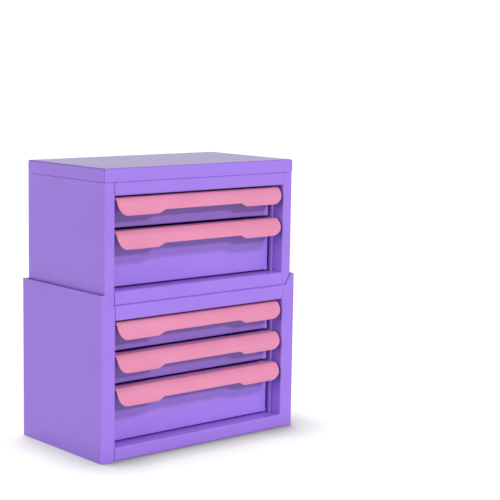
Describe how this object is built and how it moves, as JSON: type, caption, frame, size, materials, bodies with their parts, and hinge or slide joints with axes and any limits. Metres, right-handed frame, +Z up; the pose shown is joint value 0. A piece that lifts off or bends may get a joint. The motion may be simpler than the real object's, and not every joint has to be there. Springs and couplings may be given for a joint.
{
  "type": "stackable desk organizer",
  "caption": "Stackable desk organizer of folded sheet steel: a chest of drawers that nests on top of another, with curved pulls and a hinged lid over a shallow tray.",
  "frame": {"origin": "on the floor under the middle of the whole organizer, everything shut", "axes": "+X to the right seen from the front, +Y to the back, +Z up"},
  "size_m": [0.28, 0.1562, 0.3195],
  "materials": {
    "purple_enamel": "satin",
    "pink_enamel": "satin",
    "plated_steel": "satin"
  },
  "bodies": {
    "lower_chest": {"lower_right_side": "purple_enamel", "lower_left_side": "purple_enamel", "lower_back_panel": "purple_enamel", "lower_bottom_pan": "purple_enamel", "lower_right_liner": "purple_enamel", "lower_left_liner": "purple_enamel", "lower_deck": "purple_enamel", "lower_right_runner_1": "plated_steel", "lower_left_runner_1": "plated_steel", "lower_right_runner_2": "plated_steel", "lower_left_runner_2": "plated_steel", "lower_right_runner_3": "plated_steel", "lower_left_runner_3": "plated_steel"},
    "upper_chest": {"upper_right_side": "purple_enamel", "upper_left_side": "purple_enamel", "upper_back_panel": "purple_enamel", "upper_bottom_pan": "purple_enamel", "upper_right_liner": "purple_enamel", "upper_left_liner": "purple_enamel", "upper_tray": "purple_enamel", "hinge_fixed_leaf": "plated_steel", "hinge_pin": "plated_steel", "upper_right_runner_1": "plated_steel", "upper_left_runner_1": "plated_steel", "upper_right_runner_2": "plated_steel", "upper_left_runner_2": "plated_steel"},
    "lid": {"lid_shell": "purple_enamel", "hinge_moving_leaf": "plated_steel"},
    "lower_drawer_1": {"lower_drawer_1_pan": "purple_enamel", "lower_drawer_1_front": "purple_enamel", "lower_drawer_1_pull": "pink_enamel", "lower_drawer_1_rivets": "plated_steel"},
    "lower_drawer_2": {"lower_drawer_2_pan": "purple_enamel", "lower_drawer_2_front": "purple_enamel", "lower_drawer_2_pull": "pink_enamel", "lower_drawer_2_rivets": "plated_steel"},
    "lower_drawer_3": {"lower_drawer_3_pan": "purple_enamel", "lower_drawer_3_front": "purple_enamel", "lower_drawer_3_pull": "pink_enamel", "lower_drawer_3_rivets": "plated_steel"},
    "upper_drawer_1": {"upper_drawer_1_pan": "purple_enamel", "upper_drawer_1_front": "purple_enamel", "upper_drawer_1_pull": "pink_enamel", "upper_drawer_1_rivets": "plated_steel"},
    "upper_drawer_2": {"upper_drawer_2_pan": "purple_enamel", "upper_drawer_2_front": "purple_enamel", "upper_drawer_2_pull": "pink_enamel", "upper_drawer_2_rivets": "plated_steel"}
  },
  "joints": [
    {"name": "upper_chest_lift", "type": "slide", "parent": "lower_chest", "child": "upper_chest", "axis": [0, 0, 1], "range_m": [0, 0.05]},
    {"name": "lid_hinge", "type": "hinge", "parent": "upper_chest", "child": "lid", "pos_m": [0, 0.0743, 0.3026], "axis": [-1, 0, 0], "range_deg": [0, 180]},
    {"name": "lower_drawer_1_slide", "type": "slide", "parent": "lower_chest", "child": "lower_drawer_1", "axis": [0, -1, 0], "range_m": [0, 0.095]},
    {"name": "lower_drawer_2_slide", "type": "slide", "parent": "lower_chest", "child": "lower_drawer_2", "axis": [0, -1, 0], "range_m": [0, 0.095]},
    {"name": "lower_drawer_3_slide", "type": "slide", "parent": "lower_chest", "child": "lower_drawer_3", "axis": [0, -1, 0], "range_m": [0, 0.095]},
    {"name": "upper_drawer_1_slide", "type": "slide", "parent": "upper_chest", "child": "upper_drawer_1", "axis": [0, -1, 0], "range_m": [0, 0.095]},
    {"name": "upper_drawer_2_slide", "type": "slide", "parent": "upper_chest", "child": "upper_drawer_2", "axis": [0, -1, 0], "range_m": [0, 0.095]}
  ]
}
